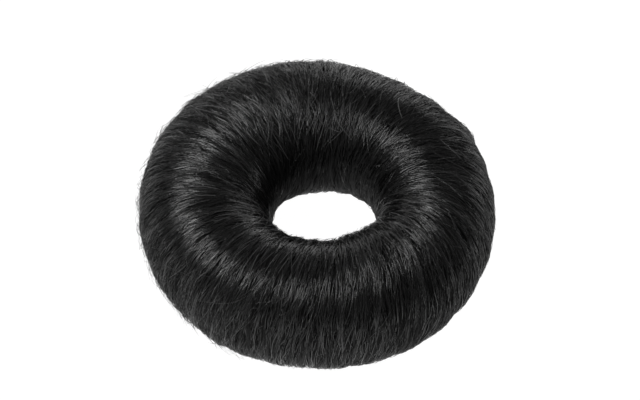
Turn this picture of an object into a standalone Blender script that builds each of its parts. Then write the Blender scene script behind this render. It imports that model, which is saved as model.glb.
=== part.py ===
"""Top knot hairpiece: a soft ring wound from synthetic hair, which lies flat and
takes a ponytail through its middle.

Metres, +Z up. The ring rests on z = 0 and its bounding box is centred on the Z axis.
Angles round the ring run from +X towards +Y, and angles round the tube run from
the outside over the crest.
"""

import math

import bpy
import numpy as np

MM = 0.001

# The tube: one height all round, while its width and its centre line vary by section.
TUBE_HEIGHT = 33.0 * MM
FOOT_PRESS = 0.5 * MM

# Each section: angle round the ring (degrees), radius of the centre line (mm), half width (mm)
SECTIONS = (
    (0, 29.0, 15.0),
    (30, 29.0, 15.5),
    (60, 28.5, 15.0),
    (90, 29.0, 17.5),
    (120, 29.5, 17.5),
    (150, 29.5, 17.5),
    (180, 28.5, 17.0),
    (210, 29.5, 15.5),
    (240, 29.5, 15.0),
    (270, 28.5, 15.5),
    (300, 29.0, 15.5),
    (330, 30.0, 14.0),
)

# How quickly a section's share falls off to either side of it
SECTION_FOCUS = 14.0

# Each lump: angle round the ring (degrees), angle round the tube (degrees),
# reach (mm) and height (mm), where a negative height is a dent
LUMPS = (
    (12, 5, 4.0, -0.3),
    (29, 22, 3.5, 0.8),
    (137, 29, 3.0, 0.4),
    (235, -33, 4.0, 0.4),
    (277, 142, 6.0, -0.6),
    (292, 147, 3.0, 0.4),
    (320, 155, 3.0, 0.4),
)

# The hair is wound in flat locks that run round the tube and lean a little.
LOCKS = 26
LOCK_LEAN = 0.11
LOCK_RELIEF = 0.35 * MM
LOCK_MEAN = 0.5

# How the locks' widths drift: waves round the ring, amount, and twist round the tube
LOCK_DRIFT = (
    (3, 0.8, 0.0),
    (5, 0.8, 2.0),
)

# The mesh of the torus that the ring is shaped from.
RING_STEPS = 156
TUBE_STEPS = 36

HAIR_COLOUR = (0.012, 0.012, 0.013, 1.0)
HAIR_ROUGHNESS = 0.45


def clear_objects():
    for thing in list(bpy.data.objects):
        bpy.data.objects.remove(thing, do_unlink=True)


def make_hair_material():
    material = bpy.data.materials.new("black_hair")
    material.use_nodes = True
    shader = material.node_tree.nodes["Principled BSDF"]
    shader.inputs["Base Color"].default_value = HAIR_COLOUR
    shader.inputs["Roughness"].default_value = HAIR_ROUGHNESS
    shader.inputs["Metallic"].default_value = 0.0
    return material


def around_ring(column, ring_angle):
    """One column of SECTIONS in metres at each angle, the sections blended smoothly."""
    places = np.radians([row[0] for row in SECTIONS])
    values = np.array([row[column] for row in SECTIONS]) * MM
    share = np.exp(SECTION_FOCUS * (np.cos(ring_angle[:, None] - places) - 1))
    return (share * values).sum(axis=1) / share.sum(axis=1)


def lump_height(ring_angle, tube_angle, centre_radius, half_width):
    """Height of all lumps and dents together at each point of the surface."""
    total = np.zeros_like(ring_angle)
    for ring_place, tube_place, reach, height in LUMPS:
        ring_gap = np.angle(np.exp(1j * (ring_angle - math.radians(ring_place))))
        tube_gap = np.angle(np.exp(1j * (tube_angle - math.radians(tube_place))))
        surface_radius = centre_radius + half_width * np.cos(tube_angle)
        distance = np.hypot(ring_gap * surface_radius, tube_gap * half_width)
        total += height * MM * np.exp(-((distance / (reach * MM)) ** 2))
    return total


def lock_height(ring_angle, tube_angle):
    """Rounded locks of uneven width, with a shallow crease between each two."""
    rise = np.sin(tube_angle)
    phase = LOCKS * (ring_angle + LOCK_LEAN * rise)
    for waves, amount, twist in LOCK_DRIFT:
        phase += amount * np.sin(waves * ring_angle + twist * rise)
    return LOCK_RELIEF * (np.abs(np.sin(phase / 2)) - LOCK_MEAN)


def shape_ring(ring):
    """Move the torus's points to the measured sections, with lumps, locks and a flat foot."""
    mesh = ring.data
    points = np.empty(len(mesh.vertices) * 3)
    mesh.vertices.foreach_get("co", points)
    points = points.reshape(-1, 3)

    ring_angle = np.arctan2(points[:, 1], points[:, 0])
    tube_angle = np.arctan2(points[:, 2], np.hypot(points[:, 0], points[:, 1]) - mean_radius())

    centre_radius = around_ring(1, ring_angle)
    half_width = around_ring(2, ring_angle)
    relief = lump_height(ring_angle, tube_angle, centre_radius, half_width)
    relief += lock_height(ring_angle, tube_angle)

    radius = centre_radius + (half_width + relief) * np.cos(tube_angle)
    height = (TUBE_HEIGHT / 2 + relief) * np.sin(tube_angle) + TUBE_HEIGHT / 2 - FOOT_PRESS
    points[:, 0] = radius * np.cos(ring_angle)
    points[:, 1] = radius * np.sin(ring_angle)
    points[:, 2] = np.maximum(height, 0.0)
    points[:, :2] -= (points[:, :2].min(axis=0) + points[:, :2].max(axis=0)) / 2

    mesh.vertices.foreach_set("co", points.ravel())
    mesh.update()


def mean_radius():
    return sum(row[1] for row in SECTIONS) / len(SECTIONS) * MM


def make_hair_ring():
    bpy.ops.mesh.primitive_torus_add(
        major_segments=RING_STEPS,
        minor_segments=TUBE_STEPS,
        major_radius=mean_radius(),
        minor_radius=TUBE_HEIGHT / 2,
    )
    ring = bpy.context.object
    ring.name = "hair_ring"
    ring.data.name = "hair_ring"
    shape_ring(ring)
    ring.data.shade_smooth()
    ring.data.materials.append(make_hair_material())
    return ring


def main():
    clear_objects()
    collection = bpy.data.collections.new("top_knot_hairpiece")
    bpy.context.scene.collection.children.link(collection)
    ring = make_hair_ring()
    for owner in list(ring.users_collection):
        owner.objects.unlink(ring)
    collection.objects.link(ring)


main()
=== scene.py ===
"""Looks of the top knot hairpiece: a ring wound from black synthetic hair.

The ring's own surface comes from the frame. Everything on it is placed by two angles:
"ring" runs round the hole from +X towards +Y, and "tube" runs round the tube from its
outside (0) over the crest (90 degrees) to the inside (180). "Lift" is the height above
the surface. Lengths are in metres, and tables give them in millimetres.
"""

import math
from collections import namedtuple

import bpy
import numpy as np
from mathutils import Matrix, Vector
from mathutils.bvhtree import BVHTree

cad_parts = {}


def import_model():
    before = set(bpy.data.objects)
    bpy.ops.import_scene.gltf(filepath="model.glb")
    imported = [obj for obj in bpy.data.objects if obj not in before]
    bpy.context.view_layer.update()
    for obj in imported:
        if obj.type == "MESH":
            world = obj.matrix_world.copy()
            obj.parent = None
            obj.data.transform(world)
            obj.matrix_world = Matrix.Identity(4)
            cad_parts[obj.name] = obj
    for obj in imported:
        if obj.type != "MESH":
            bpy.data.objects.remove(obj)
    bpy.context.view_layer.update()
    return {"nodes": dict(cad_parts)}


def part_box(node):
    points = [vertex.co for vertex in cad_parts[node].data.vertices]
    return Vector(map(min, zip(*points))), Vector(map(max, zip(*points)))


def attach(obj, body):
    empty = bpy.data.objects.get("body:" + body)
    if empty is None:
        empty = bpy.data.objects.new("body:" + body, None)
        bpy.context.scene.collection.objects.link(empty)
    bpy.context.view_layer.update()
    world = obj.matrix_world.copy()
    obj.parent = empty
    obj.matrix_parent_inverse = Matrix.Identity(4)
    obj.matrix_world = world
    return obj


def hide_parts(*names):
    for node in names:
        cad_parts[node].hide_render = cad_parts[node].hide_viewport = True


MM = 0.001
NODE = "hair_ring"

# Seeds of the strands and of each smooth field
SEED = 38
BROAD_SEED = 39
FINE_SEED = 40
BED_DRIFT_SEED = 41
BED_SWING_SEED = 42

# Camera, fitted to the photograph's outline of the ring
IMAGE_WIDTH = 640
SENSOR_WIDTH = 36.0
CAMERA_ELEVATION = 50.4
CAMERA_DISTANCE = 575 * MM
CAMERA_FOCUS_PX = 2274.0
CAMERA_NEAR = 0.01
CAMERA_FAR = 20.0
AIM_RIGHT = 0.8 * MM
AIM_UP = 1.6 * MM
AIM_HEIGHT = 17 * MM

# Grid on which the ring's surface is read from the frame
RING_SAMPLES = 360
TUBE_SAMPLES = 90

# Inverse powers of the plastic number spread places evenly over an area
PLASTIC_NUMBER = 1.32471795724474602596
AREA_SAMPLES = 721

# The dense mat of hair under the single strands: its ridges run with the hair, drift to
# either side (radians of a ridge) and swing in height
BED_DEPTH = 0.9 * MM
BED_RING_STEPS = 600
BED_TUBE_STEPS = 60
BED_RIDGES = 280
BED_RIDGE_HEIGHT = 0.22 * MM
BED_RIDGE_MEAN = 0.6
BED_RIDGE_SWING = 0.4
BED_SWING_WAVES = (30, 5)
BED_DRIFT = 6
BED_DRIFT_WAVES = (9, 3)

FLOOR_GAP = 0.05 * MM

# Most triangles in one piece
LARGEST_PIECE = 190000

# Where the hair stands fuller, or flatter, than the solid: ring and tube angle, how far that
# reaches round each (all degrees), and the height (mm)
FULLNESS = (
    (295, -45, 65, 30, 0.40),
    (278, 140, 18, 22, -0.35),
    (330, 140, 12, 22, -0.35),
    (228, 140, 12, 22, 0.25),
    (105, 205, 70, 35, 0.45),
)


def full_turn(steps):
    """Evenly spaced angles once round."""
    return np.arange(steps) * 2 * math.pi / steps


def turn_from(place, angle):
    """The shorter way round from a place (degrees) to each angle, in radians."""
    return np.angle(np.exp(1j * (angle - math.radians(place))))


def fullness(ring, tube):
    """How much higher than the solid's surface the hair lies at each place."""
    total = 0
    for ring_place, tube_place, ring_reach, tube_reach, height in FULLNESS:
        ring_gap = turn_from(ring_place, ring) / math.radians(ring_reach)
        tube_gap = turn_from(tube_place, tube) / math.radians(tube_reach)
        total = total + height * MM * np.exp(-(ring_gap**2) - tube_gap**2)
    return total


class TubeSurface:
    """The ring's surface, as the distance from the middle of its tube at each pair of angles."""

    def __init__(self, node):
        low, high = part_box(NODE)
        self.middle_height = (low.z + high.z) / 2
        self.reach = 2 * max(high.x, high.y)
        vertices = [vertex.co for vertex in node.data.vertices]
        faces = [tuple(face.vertices) for face in node.data.polygons]
        self.tree = BVHTree.FromPolygons(vertices, faces)
        self.rings = full_turn(RING_SAMPLES)
        self.tubes = full_turn(TUBE_SAMPLES)
        self.centres = np.array([self.find_centre(ring) for ring in self.rings])
        self.radii = np.array([self.find_radii(*pair) for pair in zip(self.rings, self.centres)])
        self.mean_centre = self.centres.mean()
        self.mean_radius = self.radii.mean()

    def find_centre(self, ring):
        """Distance of the tube's middle from the Z axis."""
        outward = Vector((math.cos(ring), math.sin(ring), 0))
        height = Vector((0, 0, self.middle_height))
        inner = self.tree.ray_cast(height, outward)[0]
        outer = self.tree.ray_cast(height + outward * self.reach, -outward)[0]
        return (inner.xy.length + outer.xy.length) / 2

    def find_radii(self, ring, centre):
        """Distance from the tube's middle to the surface, in all directions round it."""
        outward = Vector((math.cos(ring), math.sin(ring), 0))
        middle = outward * centre + Vector((0, 0, self.middle_height))
        radii = []
        for tube in self.tubes:
            direction = outward * math.cos(tube) + Vector((0, 0, math.sin(tube)))
            radii.append(self.tree.ray_cast(middle, direction)[3])
        return radii

    def centre(self, ring):
        return np.interp(ring, self.rings, self.centres, period=2 * math.pi)

    def radius(self, ring, tube):
        """The radii between the samples, blended from the four round each place."""
        ring_place = ring / (2 * math.pi) * RING_SAMPLES
        tube_place = tube / (2 * math.pi) * TUBE_SAMPLES
        ring_cell = np.floor(ring_place).astype(int)
        tube_cell = np.floor(tube_place).astype(int)
        ring_part = ring_place - ring_cell
        tube_part = tube_place - tube_cell
        total = 0
        for ring_step, ring_share in ((0, 1 - ring_part), (1, ring_part)):
            for tube_step, tube_share in ((0, 1 - tube_part), (1, tube_part)):
                row = (ring_cell + ring_step) % RING_SAMPLES
                column = (tube_cell + tube_step) % TUBE_SAMPLES
                total = total + self.radii[row, column] * ring_share * tube_share
        return total

    def axis_distance(self, ring, tube):
        return self.centre(ring) + self.radius(ring, tube) * np.cos(tube)

    def outward(self, ring, tube):
        """Unit direction away from the tube's middle."""
        level = np.cos(tube)
        return np.stack([level * np.cos(ring), level * np.sin(ring), np.sin(tube)], axis=-1)

    def point(self, ring, tube, lift):
        """The place at a lift above the hair's surface, kept above the floor."""
        centre = self.centre(ring)
        middle = [centre * np.cos(ring), centre * np.sin(ring), np.zeros_like(centre)]
        reach = self.radius(ring, tube) + fullness(ring, tube) + lift
        points = np.stack(middle, axis=-1) + self.outward(ring, tube) * reach[..., None]
        points[..., 2] = np.maximum(points[..., 2] + self.middle_height, FLOOR_GAP)
        return points


def smooth_field(seed, ring_waves, tube_waves, terms=16):
    """A function of both angles that wanders smoothly, mostly between -1 and 1."""
    rng = np.random.default_rng(seed)
    across = rng.integers(-ring_waves, ring_waves + 1, terms)
    along = rng.integers(-tube_waves, tube_waves + 1, terms)
    phases = rng.uniform(0, 2 * math.pi, terms)

    def field(ring, tube):
        total = np.zeros(np.broadcast(ring, tube).shape)
        for ring_wave, tube_wave, phase in zip(across, along, phases):
            total += np.sin(ring_wave * ring + tube_wave * tube + phase)
        return total * math.sqrt(1 / terms)

    return field


def even_places(count, surface):
    """Ring and tube angles spread evenly over the ring's area, without clumps."""
    index = np.arange(1, count + 1)
    ring = (index / PLASTIC_NUMBER % 1.0) * 2 * math.pi
    share = index / PLASTIC_NUMBER**2 % 1.0
    tubes = np.linspace(0, 2 * math.pi, AREA_SAMPLES)
    area = surface.mean_centre + surface.mean_radius * np.cos(tubes)
    total = np.concatenate([[0], np.cumsum((area[1:] + area[:-1]) / 2)])
    tube = np.interp(share * total[-1], total, tubes)
    return ring, tube


# Strand layers

Layer = namedtuple("Layer", "name count group length width low high slant crimp segments tuck closed")

# Count of strands, how many run together as one lock, length and width (mm), lowest and
# highest lift (mm), spread of the slant (degrees), highest crimp (mm), segments, how deep
# the ends are tucked (mm), and whether each strand is a closed tube
LAYERS = (
    Layer("under", 4500, 1, 22, 0.22, -0.90, -0.50, 9, 0.10, 5, 0.4, False),
    Layer("coat", 13800, 4, 24, 0.15, -0.45, 0.05, 4, 0.12, 9, 0.6, False),
    Layer("wisps", 2700, 2, 16, 0.12, -0.05, 0.15, 9, 0.16, 8, 0.6, True),
)

# How far a lock strays from its even place round the ring (radians), and how much it bends
# aside along its length
LOCK_SHIFT = 0.01
LOCK_BEND = 0.15

# Within a lock: how far its strands stand apart side by side and along the hair, and how
# much each strays in slant (degrees) and in level
LOCK_SPREAD = 0.22 * MM
LOCK_STAGGER = 3 * MM
LOCK_STRAY = 3.0
LEVEL_STRAY = 0.12 * MM

# Smallest and largest share of the length and width that the layer gives
LENGTH_RANGE = (0.7, 1.3)
WIDTH_RANGE = (0.7, 1.25)

# The share of its width that a strand loses towards its ends
THINNING = 0.5

# How far the hair leans from straight round the tube, by ring angle: on the outside of the
# ring and on the inside (all degrees)
LEANS = (
    (0, 10, -12),
    (30, 5, 5),
    (60, 0, -5),
    (90, -5, 8),
    (120, -15, 18),
    (150, -2, 22),
    (180, 10, 28),
    (210, 2, 12),
    (240, 6, 10),
    (270, 8, 12),
    (300, 12, 8),
    (330, 12, 8),
)

# How quickly a lean's share falls off to either side of its place
LEAN_FOCUS = 14.0

# The lean also drifts from place to place, broadly and finely: how much (degrees), and at
# most how many waves round the ring and round the tube
BROAD_SLANT = 3.0
BROAD_WAVES = (6, 2)
FINE_SLANT = 3.0
FINE_WAVES = (36, 6)
FINE_TERMS = 40

# Each strand waves from side to side, and crimps up and down at its own stretch of the
# crimp's length
WAVE_HEIGHT = 0.25 * MM
WAVE_LENGTH = 11 * MM
CRIMP_LENGTH = 8 * MM
CRIMP_STRETCH = (0.8, 1.4)

# Each finish: darkest and palest base colour, smoothest and roughest gloss, specular level
Finish = namedtuple("Finish", "name darkest palest smoothest roughest specular")
FINISHES = (
    Finish("glossy", 0.002, 0.012, 0.18, 0.32, 0.8),
    Finish("satin", 0.002, 0.008, 0.40, 0.55, 0.2),
    Finish("dull", 0.004, 0.022, 0.22, 0.40, 0.06),
    # The pale finish's light greys are painted light: they stand in for the light that loose and
    # single hairs catch
    Finish("pale", 0.025, 0.120, 0.22, 0.38, 0.8),
)
GLOSSY, SATIN, DULL, PALE_PAINTED_LIGHT = range(4)

# Shares by tube angle (degrees): glossy and satin strands of the coat, and glossy wisps;
# the others are dull
FINISH_SHARES = (
    (0, 0.20, 0.45, 0.7),
    (30, 0.35, 0.35, 0.8),
    (60, 0.75, 0.10, 1.0),
    (105, 0.75, 0.05, 1.0),
    (140, 0.50, 0.05, 0.6),
    (158, 0.05, 0.00, 0.1),
    (180, 0.00, 0.00, 0.0),
    (270, 0.00, 0.00, 0.0),
    (330, 0.15, 0.55, 0.5),
    (360, 0.20, 0.45, 0.7),
)

# The wall of the hole, as tube angles: its middle, how far it reaches and how it fades out. Strands
# there get the palest tone of their finish, which is painted light in the hole's shade
INNER_PLACE = math.radians(195)
INNER_REACH = math.radians(50)
INNER_FADE = math.radians(20)


def make_slant_field():
    """The hair's slant as a function of both angles, in radians."""
    broad = smooth_field(BROAD_SEED, *BROAD_WAVES)
    fine = smooth_field(FINE_SEED, *FINE_WAVES, terms=FINE_TERMS)

    places = np.radians([row[0] for row in LEANS])
    outside = np.array([row[1] for row in LEANS])
    inside = np.array([row[2] for row in LEANS])

    def slant(ring, tube):
        share = np.exp(LEAN_FOCUS * (np.cos(ring[..., None] - places) - 1))
        share = share / share.sum(axis=-1, keepdims=True)
        level = (1 + np.cos(tube)) / 2
        lean = (share * outside).sum(axis=-1) * level + (share * inside).sum(axis=-1) * (1 - level)
        return np.radians(lean + BROAD_SLANT * broad(ring, tube) + FINE_SLANT * fine(ring, tube))

    return slant


def hole_painted_light_share(tube):
    """From 0 to 1 towards the wall of the hole, where the strands get a paler black: painted light in
    the hole's shade.
    """
    return np.clip((INNER_REACH - np.abs(tube - INNER_PLACE)) / INNER_FADE, 0, 1)


def choose_finishes(rng, layer, tube):
    """The number of each strand's finish, drawn with the shares of its place round the tube."""
    places, coat_glossy, coat_satin, wisps_glossy = np.array(FINISH_SHARES).T
    place = np.degrees(tube) % 360
    is_coat = layer.name == "coat"
    glossy = np.interp(place, places, coat_glossy if is_coat else wisps_glossy)
    satin = np.interp(place, places, coat_satin) if is_coat else 0
    chance = rng.uniform(0, 1, len(tube))
    finish = np.full(len(tube), DULL)
    if layer.name != "under":
        finish[chance <= glossy + satin] = SATIN
        finish[chance <= glossy] = GLOSSY
    return finish


def lay_strands(rng, surface, slant_field, layer):
    """Angles, lift and width at every point of each strand of a layer, with its tone and finish."""
    count = layer.count
    locks = count // layer.group
    lock = np.repeat(np.arange(locks), layer.group)
    lock_ring, lock_tube = even_places(locks, surface)
    lock_ring = lock_ring + rng.normal(0, LOCK_SHIFT, locks)
    lock_slant = slant_field(lock_ring, lock_tube) + np.radians(layer.slant) * rng.normal(size=locks)
    lock_level = rng.uniform(layer.low, layer.high, locks) * MM
    lock_bend = rng.normal(0, LOCK_BEND, locks) / (layer.length * MM)

    aside = rng.normal(0, LOCK_SPREAD, count) if layer.group > 1 else np.zeros(count)
    stagger = rng.normal(0, LOCK_STAGGER, count) if layer.group > 1 else np.zeros(count)
    slant = lock_slant[lock] + np.radians(LOCK_STRAY) * rng.normal(size=count)
    tube_mid = lock_tube[lock] + stagger / surface.mean_radius
    aside = aside + stagger * np.tan(lock_slant[lock])
    ring_mid = lock_ring[lock] + aside / surface.axis_distance(lock_ring[lock], tube_mid)
    length = layer.length * MM * rng.uniform(*LENGTH_RANGE, count)
    along = np.linspace(-0.5, 0.5, layer.segments + 1)[None, :]
    from_middle = np.abs(2 * along)
    reach = along * length[:, None]
    tube = tube_mid[:, None] + reach / surface.mean_radius

    run = reach + stagger[:, None]
    drift = np.tan(slant)[:, None] * reach + lock_bend[lock][:, None] * reach * np.abs(reach)
    phase = rng.uniform(0, 2 * math.pi, (locks, 1))[lock]
    wave = WAVE_HEIGHT * np.sin(run / WAVE_LENGTH * 2 * math.pi + phase)
    ring = ring_mid[:, None] + (drift + wave) / surface.axis_distance(ring_mid[:, None], tube)

    phase = rng.uniform(0, 2 * math.pi, (count, 1))
    stretch = rng.uniform(*CRIMP_STRETCH, (count, 1))
    crimp = rng.uniform(0, layer.crimp, (count, 1)) * MM
    crimp = crimp * np.sin(run / (CRIMP_LENGTH * stretch) * 2 * math.pi + phase)
    level = lock_level[lock] + rng.normal(0, LEVEL_STRAY, count)
    level = np.clip(level, layer.low * MM, layer.high * MM)
    lift = level[:, None] + crimp - layer.tuck * MM * from_middle**3
    widths = layer.width * MM * rng.uniform(*WIDTH_RANGE, (count, 1))
    widths = widths * (1 - THINNING * from_middle**4)
    # Towards the wall of the hole every tone rises to the palest: painted light where the hole is in
    # shade
    tone = rng.uniform(0, 1, count) ** (1 - hole_painted_light_share(tube_mid))
    return ring, tube, lift, widths, tone, choose_finishes(rng, layer, tube_mid)


# Loose hair

Patch = namedtuple(
    "Patch",
    "name count ring_from ring_to tube_from tube_to length width slant bend rise inward free finish",
)

# Loose hair by place: count, where it is rooted (degrees round the ring and the tube),
# length and width (mm), spread of the slant (degrees), how much it bends, how high it rises
# (mm), the share that runs inward over the crest, whether its tip stands free or comes back
# to the surface, and its finish
LOOSE_HAIR = (
    Patch("short_all_over", 700, 0, 360, -20, 150, 4.0, 0.11, 14, 0.4, 0.4, 0.5, True, GLOSSY),
    Patch("short_far_left", 700, 85, 155, 0, 75, 4.0, 0.11, 28, 0.4, 0.65, 0.3, True, GLOSSY),
    Patch("short_far_right", 250, 35, 85, 0, 75, 3.0, 0.11, 22, 0.4, 0.25, 0.3, True, GLOSSY),
    Patch("short_hole_edge", 260, 215, 330, 125, 160, 3.0, 0.11, 18, 0.4, 0.5, 0.6, True, GLOSSY),
    Patch("tuft_far_left", 45, 118, 134, 20, 50, 6.0, 0.11, 30, 0.4, 1.4, 0.3, True, GLOSSY),
    Patch("fine_left_side", 450, 150, 245, -35, 45, 7.0, 0.08, 22, 0.4, 1.1, 0.3, True, GLOSSY),
    Patch("fine_left_loops", 90, 150, 245, -25, 30, 11.0, 0.08, 10, 0.3, 1.0, 0.4, False, GLOSSY),
    # Patches with the pale finish are grey hairs that stand in for lit strays: painted light
    Patch("fine_right_side", 150, -30, 30, 5, 60, 8.0, 0.12, 10, 0.15, 0.3, 0.5, True, PALE_PAINTED_LIGHT),
    Patch("comb_near_edge", 240, 195, 345, 95, 140, 9.0, 0.17, 5, 0.06, 0.30, 0.5, True, PALE_PAINTED_LIGHT),
    Patch("hanging_far_inside", 90, 45, 140, 85, 120, 8.0, 0.14, 9, 0.25, 0.8, 1.0, True, PALE_PAINTED_LIGHT),
    Patch("stray_left_half", 90, 100, 270, -20, 120, 8.0, 0.10, 14, 0.3, 0.6, 0.5, False, PALE_PAINTED_LIGHT),
    Patch("stray_far_side", 80, 50, 150, 20, 100, 6.0, 0.12, 12, 0.3, 0.7, 0.7, False, PALE_PAINTED_LIGHT),
)
LOOSE_SEGMENTS_PER_MM = 0.8
LOOSE_FEWEST_SEGMENTS = 4
LOOSE_SINK = 0.5 * MM

# Smallest and largest share of the length, rise and width that the patch gives, the share of
# its width that a hair loses towards its tip, and its lowest and highest tone
LOOSE_LENGTH_RANGE = (0.6, 1.4)
LOOSE_RISE_RANGE = (0.2, 1.6)
LOOSE_WIDTH_RANGE = (0.8, 1.2)
LOOSE_THINNING = 0.6
LOOSE_TONES = (0.3, 1)


def lay_loose_hair(rng, surface, slant_field, patch):
    """Like lay_strands, for hair rooted in a patch of the surface that rises from it."""
    count = patch.count
    segments = max(LOOSE_FEWEST_SEGMENTS, round(patch.length * LOOSE_SEGMENTS_PER_MM))
    ring_root = np.radians(rng.uniform(patch.ring_from, patch.ring_to, count))
    tube_root = np.radians(rng.uniform(patch.tube_from, patch.tube_to, count))
    slant = slant_field(ring_root, tube_root) + np.radians(patch.slant) * rng.normal(size=count)
    length = patch.length * MM * rng.uniform(*LOOSE_LENGTH_RANGE, count)
    along = np.linspace(0, 1, segments + 1)[None, :]
    way = np.where(rng.uniform(0, 1, count) < patch.inward, 1, -1)
    reach = along * (length * way)[:, None]
    tube = tube_root[:, None] + reach * np.cos(slant)[:, None] / surface.mean_radius

    bend = rng.normal(0, patch.bend, (count, 1))
    drift = np.sin(slant)[:, None] * reach + bend * along**2 * length[:, None]
    ring = ring_root[:, None] + drift / surface.axis_distance(ring_root[:, None], tube)

    rise = patch.rise * MM * rng.uniform(*LOOSE_RISE_RANGE, (count, 1))
    swell = along**1.5 if patch.free else np.sin(math.pi * along)
    lift = rise * swell - LOOSE_SINK * (1 - along) ** 2
    if not patch.free:
        lift = lift - LOOSE_SINK * along**2
    widths = patch.width * MM * rng.uniform(*LOOSE_WIDTH_RANGE, (count, 1))
    widths = widths * (1 - LOOSE_THINNING * along**3)
    tone = rng.uniform(*LOOSE_TONES, count)
    return ring, tube, lift, widths, tone


# Single hairs that stand out on the far side: how far they stand off, their width (mm), and
# the ring and tube angles (degrees) that they pass at even steps
# All of them have the pale finish at its palest tone: painted light for the glints they catch
SingleHair = namedtuple("SingleHair", "lift width places")
SINGLE_HAIRS = (
    SingleHair(0.5, 0.20, ((140, 88), (142, 72), (145, 56), (146, 74), (144, 93))),
    SingleHair(0.5, 0.18, ((48, 79), (46, 86), (42, 92), (36, 98))),
    SingleHair(0.6, 0.18, ((78, 117), (72, 127), (57, 138))),
    SingleHair(0.6, 0.16, ((80, 133), (74, 134), (68, 134))),
    SingleHair(0.5, 0.18, ((101, 119), (104, 126), (106, 134))),
    SingleHair(0.5, 0.18, ((120, 121), (122, 127), (126, 134))),
    SingleHair(0.5, 0.18, ((128, 117), (131, 125), (139, 132))),
    SingleHair(0.5, 0.18, ((142, 110), (146, 118), (146, 130))),
    SingleHair(0.4, 0.16, ((94, 100), (93, 103), (91, 106))),
)
SINGLE_SEGMENTS = 16
SINGLE_SINK = 0.6 * MM
SINGLE_THINNING = 0.5


def lay_single_hairs():
    """Like lay_loose_hair, for the hairs in SINGLE_HAIRS, which have the palest tone: painted light
    that stands in for their glints.
    """
    along = np.linspace(0, 1, SINGLE_SEGMENTS + 1)
    courses = []
    for hair in SINGLE_HAIRS:
        steps = np.linspace(0, 1, len(hair.places))
        curve = np.polyfit(steps, np.radians(hair.places), len(hair.places) - 1)
        courses.append([np.polyval(curve[:, column], along) for column in (0, 1)])
    ring, tube = np.moveaxis(np.array(courses), 1, 0)
    lifts = np.array([[hair.lift * MM] for hair in SINGLE_HAIRS])
    lifts = lifts - SINGLE_SINK * (1 - along) ** 6
    widths = np.array([[hair.width * MM] for hair in SINGLE_HAIRS])
    widths = widths * (1 - SINGLE_THINNING * along**3)
    return ring, tube, lifts, widths, np.ones(len(SINGLE_HAIRS))


# Meshes

# A strand has three points across, of which these pairs are joined
POINTS_ACROSS = 3
ROOF_SIDES = ((0, 1), (1, 2))
TUBE_SIDES = ((0, 1), (1, 2), (2, 0))

# How high the middle point stands over the other two, in half widths
ROOF_RIDGE = 1.0
TUBE_RIDGE = 1.5

# Keeps a vector without a length from being divided by zero
TINY = 1e-12

# Where a strand lies in its cell of the UV map, in shares of the cell: its left side, the
# step between its points across, its root and its length
CELL_LEFT = 0.2
CELL_STEP = 0.3
CELL_ROOT = 0.1
CELL_LENGTH = 0.8


def unit(vectors):
    return vectors / (np.linalg.norm(vectors, axis=-1, keepdims=True) + TINY)


def dress(piece):
    """Attach a piece of hair so that it moves with the ring, and hide the solid that it stands for.
    """
    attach(piece, "root")
    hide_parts(NODE)


def make_piece(name, vertices, quads, material):
    """A smooth piece of hair from its vertices and its four-sided faces."""
    mesh = bpy.data.meshes.new(name)
    mesh.vertices.add(len(vertices))
    mesh.vertices.foreach_set("co", vertices.astype(np.float32).ravel())
    mesh.loops.add(quads.size)
    mesh.loops.foreach_set("vertex_index", quads.astype(np.int32).ravel())
    mesh.polygons.add(len(quads))
    mesh.polygons.foreach_set("loop_start", np.arange(0, quads.size, 4, dtype=np.int32))
    mesh.polygons.foreach_set("use_smooth", np.ones(len(quads), dtype=bool))
    mesh.update(calc_edges=True)
    mesh.materials.append(material)
    piece = bpy.data.objects.new(name, mesh)
    bpy.context.scene.collection.objects.link(piece)
    dress(piece)
    return piece


def sweep_strands(name, points, normals, widths, tone, closed, material):
    """One piece of many strands, each a small roof or a closed tube along its points."""
    count, rows = points.shape[:2]
    tangents = unit(np.gradient(points, axis=1))
    sideways = unit(np.cross(tangents, normals))
    upward = np.cross(sideways, tangents)
    half = widths[..., None] / 2
    left = points - sideways * half
    right = points + sideways * half
    ridge = points + upward * half * (TUBE_RIDGE if closed else ROOF_RIDGE)
    vertices = np.stack([left, ridge, right], axis=2).reshape(-1, 3)

    first = (np.arange(count)[:, None] * rows + np.arange(rows - 1)).ravel() * POINTS_ACROSS
    strips = []
    for a, b in TUBE_SIDES if closed else ROOF_SIDES:
        strip = [first + a, first + a + POINTS_ACROSS, first + b + POINTS_ACROSS, first + b]
        strips.append(np.stack(strip, axis=1))
    quads = np.concatenate(strips)

    mesh = make_piece(name, vertices, quads, material).data
    tones = np.repeat(tone, rows * POINTS_ACROSS).astype(np.float32)
    mesh.attributes.new("tone", "FLOAT", "POINT").data.foreach_set("value", tones)
    lay_out_cells(mesh, count, rows, quads)


def lay_out_cells(mesh, count, rows, quads):
    """A UV map that gives each strand a small cell of its own."""
    cells = math.ceil(math.sqrt(count))
    strand = quads // (rows * POINTS_ACROSS)
    row = quads % (rows * POINTS_ACROSS) // POINTS_ACROSS
    column = quads % POINTS_ACROSS
    u = (strand % cells + CELL_LEFT + CELL_STEP * column) / cells
    v = (strand // cells + CELL_ROOT + CELL_LENGTH * row / (rows - 1)) / cells
    cell_map = mesh.uv_layers.new(name="OFBake")
    cell_map.data.foreach_set("uv", np.stack([u, v], axis=-1).astype(np.float32).ravel())


def make_strand_pieces(name, surface, strands, material, closed):
    """The strands as pieces, as many as keep each below the largest size."""
    ring, tube, lift, widths, tone = strands
    points = surface.point(ring, tube, lift)
    normals = surface.outward(ring, tube)
    sides = TUBE_SIDES if closed else ROOF_SIDES
    triangles = len(ring) * (ring.shape[1] - 1) * len(sides) * 2
    parts = math.ceil(triangles / LARGEST_PIECE)
    for number in range(parts):
        share = [values[number::parts] for values in (points, normals, widths, tone)]
        sweep_strands(f"{name}_{number + 1}", *share, closed, material)


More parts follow.
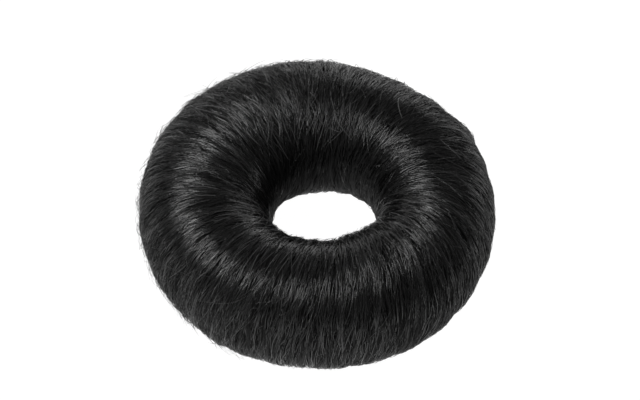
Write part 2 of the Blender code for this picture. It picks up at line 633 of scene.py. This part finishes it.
def make_bed(surface, material):
    """The closed mat below the strands, ridged along the hair's direction."""
    ring, tube = np.meshgrid(full_turn(BED_RING_STEPS), full_turn(BED_TUBE_STEPS), indexing="ij")
    drift = BED_DRIFT * smooth_field(BED_DRIFT_SEED, *BED_DRIFT_WAVES)(ring, tube)
    swing = BED_RIDGE_SWING * smooth_field(BED_SWING_SEED, *BED_SWING_WAVES)(ring, tube)
    ridges = np.sin(BED_RIDGES * ring + drift) * (BED_RIDGE_MEAN + swing)
    points = surface.point(ring, tube, -BED_DEPTH + BED_RIDGE_HEIGHT * ridges).reshape(-1, 3)
    index = np.arange(BED_RING_STEPS * BED_TUBE_STEPS).reshape(BED_RING_STEPS, BED_TUBE_STEPS)
    next_ring = np.roll(index, -1, axis=0)
    next_tube = np.roll(index, -1, axis=1)
    next_both = np.roll(next_ring, -1, axis=1)
    quads = np.stack([index, next_ring, next_both, next_tube], axis=-1).reshape(-1, 4)
    bed = make_piece("hair_bed", points, quads, material)


# Materials

# How fine the gloss wanders (per metre), and the factor that gives neighbouring tones
# quite different gloss
GLOSS_WANDER = 900
GLOSS_SHUFFLE = 9.0

# Hair below this tone has the darkest colour of its finish
DARKEST_UP_TO = 0.35

# The mat and the floor: base colour and roughness of each, and the specular level of both
BED_BASE = 0.003
BED_ROUGHNESS = 0.7
FLOOR_BASE = 0.1
FLOOR_ROUGHNESS = 0.9
PLAIN_SPECULAR = 0.1


def grey(level):
    return (level, level, level, 1)


def new_material(name):
    material = bpy.data.materials.new(name)
    material.use_nodes = True
    return material, material.node_tree.nodes["Principled BSDF"]


def make_strand_material(finish):
    """Black fibre: each strand has its own black and its own gloss, which wanders along it."""
    material, shader = new_material("hair_" + finish.name)
    nodes = material.node_tree.nodes
    links = material.node_tree.links
    tone = nodes.new("ShaderNodeAttribute")
    tone.attribute_name = "tone"
    colours = nodes.new("ShaderNodeValToRGB")
    colours.color_ramp.interpolation = "EASE"
    colours.color_ramp.elements[0].color = grey(finish.darkest)
    colours.color_ramp.elements[0].position = DARKEST_UP_TO
    colours.color_ramp.elements[1].color = grey(finish.palest)
    links.new(tone.outputs["Fac"], colours.inputs["Fac"])
    links.new(colours.outputs["Color"], shader.inputs["Base Color"])

    place = nodes.new("ShaderNodeTexCoord")
    wander = nodes.new("ShaderNodeTexNoise")
    wander.inputs["Scale"].default_value = GLOSS_WANDER
    links.new(place.outputs["Object"], wander.inputs["Vector"])
    spread = nodes.new("ShaderNodeMath")
    spread.operation = "MULTIPLY_ADD"
    spread.inputs[1].default_value = GLOSS_SHUFFLE
    links.new(tone.outputs["Fac"], spread.inputs[0])
    links.new(wander.outputs["Fac"], spread.inputs[2])
    own = nodes.new("ShaderNodeMath")
    own.operation = "PINGPONG"
    own.inputs[1].default_value = 1.0
    links.new(spread.outputs["Value"], own.inputs[0])
    gloss = nodes.new("ShaderNodeMapRange")
    gloss.inputs["To Min"].default_value = finish.smoothest
    gloss.inputs["To Max"].default_value = finish.roughest
    links.new(own.outputs["Value"], gloss.inputs["Value"])
    links.new(gloss.outputs["Result"], shader.inputs["Roughness"])
    shader.inputs["Specular IOR Level"].default_value = finish.specular
    return material


def make_plain_material(name, base, roughness):
    """A grey that hardly shines, as a material and its shader."""
    material, shader = new_material(name)
    shader.inputs["Base Color"].default_value = grey(base)
    shader.inputs["Roughness"].default_value = roughness
    shader.inputs["Specular IOR Level"].default_value = PLAIN_SPECULAR
    return material, shader


# Stage

FLOOR_SIZE = 6.0
FLOOR_GLOW = 1.0
WORLD_BRIGHTNESS = 0.15

# Each light: name, direction it comes from as azimuth and elevation (degrees; azimuth 0 is
# the camera's side, 90 the right), distance (m), size (m), power (W)
LIGHTS = (
    ("left_softbox", -76, 50, 0.9, 0.55, 5.8),
    ("back_left_softbox", -150, 10, 0.9, 0.40, 0.5),
    ("back_softbox", 180, 10, 0.9, 0.40, 0.6),
    ("back_right_softbox", 150, 22, 0.9, 0.50, 1.4),
    ("right_softbox", 108, 10, 0.9, 0.40, 1.0),
)


def make_floor():
    bpy.ops.mesh.primitive_plane_add(size=FLOOR_SIZE)
    floor = bpy.context.object
    floor.name = "floor"
    material, shader = make_plain_material("floor_white", FLOOR_BASE, FLOOR_ROUGHNESS)
    shader.inputs["Emission Color"].default_value = grey(1)
    shader.inputs["Emission Strength"].default_value = FLOOR_GLOW
    floor.data.materials.append(material)


def direction(azimuth, elevation):
    """Unit vector towards a place seen from the ring."""
    level = math.cos(math.radians(elevation))
    height = math.sin(math.radians(elevation))
    turn = math.radians(azimuth)
    return Vector((math.sin(turn) * level, -math.cos(turn) * level, height))


def make_lights():
    for name, azimuth, elevation, distance, size, power in LIGHTS:
        lamp = bpy.data.lights.new(name, "AREA")
        lamp.shape = "DISK"
        lamp.size = size
        lamp.energy = power
        holder = bpy.data.objects.new(name, lamp)
        towards = direction(azimuth, elevation)
        holder.location = towards * distance
        holder.rotation_euler = towards.to_track_quat("Z", "Y").to_euler()
        bpy.context.scene.collection.objects.link(holder)


def make_world():
    world = bpy.data.worlds.new("studio")
    bpy.context.scene.world = world
    world.use_nodes = True
    background = world.node_tree.nodes["Background"]
    background.inputs["Color"].default_value = grey(1)
    background.inputs["Strength"].default_value = WORLD_BRIGHTNESS


def make_camera():
    """The camera looks along +Y and down, from where the photograph was taken."""
    tilt = math.radians(CAMERA_ELEVATION)
    back = Vector((0, -math.cos(tilt), math.sin(tilt)))
    up = Vector((0, math.sin(tilt), math.cos(tilt)))
    right = Vector((1, 0, 0))
    lens = bpy.data.cameras.new("camera")
    lens.sensor_fit = "HORIZONTAL"
    lens.sensor_width = SENSOR_WIDTH
    lens.lens = CAMERA_FOCUS_PX * SENSOR_WIDTH / IMAGE_WIDTH
    lens.clip_start = CAMERA_NEAR
    lens.clip_end = CAMERA_FAR
    camera = bpy.data.objects.new("camera", lens)
    aim = Vector((0, 0, AIM_HEIGHT)) + right * AIM_RIGHT + up * AIM_UP
    place = Matrix((right, up, back)).transposed().to_4x4()
    place.translation = aim + back * CAMERA_DISTANCE
    camera.matrix_world = place
    bpy.context.scene.collection.objects.link(camera)
    bpy.context.scene.camera = camera


def make_hair(surface):
    """All the hair: the mat, the wound layers and the loose hair."""
    rng = np.random.default_rng(SEED)
    slant_field = make_slant_field()
    make_bed(surface, make_plain_material("hair_mat", BED_BASE, BED_ROUGHNESS)[0])

    materials = [make_strand_material(finish) for finish in FINISHES]
    for layer in LAYERS:
        *strands, finishes = lay_strands(rng, surface, slant_field, layer)
        for number, finish in enumerate(FINISHES):
            name = f"{layer.name}_{finish.name}"
            picked = [values[finishes == number] for values in strands]
            make_strand_pieces(name, surface, picked, materials[number], layer.closed)

    for patch in LOOSE_HAIR:
        strands = lay_loose_hair(rng, surface, slant_field, patch)
        make_strand_pieces(patch.name, surface, strands, materials[patch.finish], closed=True)
    make_strand_pieces("single_hairs", surface, lay_single_hairs(), materials[PALE_PAINTED_LIGHT], closed=True)


def main():
    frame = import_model()
    bpy.context.scene.view_settings.view_transform = "Standard"
    surface = TubeSurface(frame["nodes"][NODE])

    make_camera()
    make_world()
    make_lights()
    make_floor()
    make_hair(surface)


main()
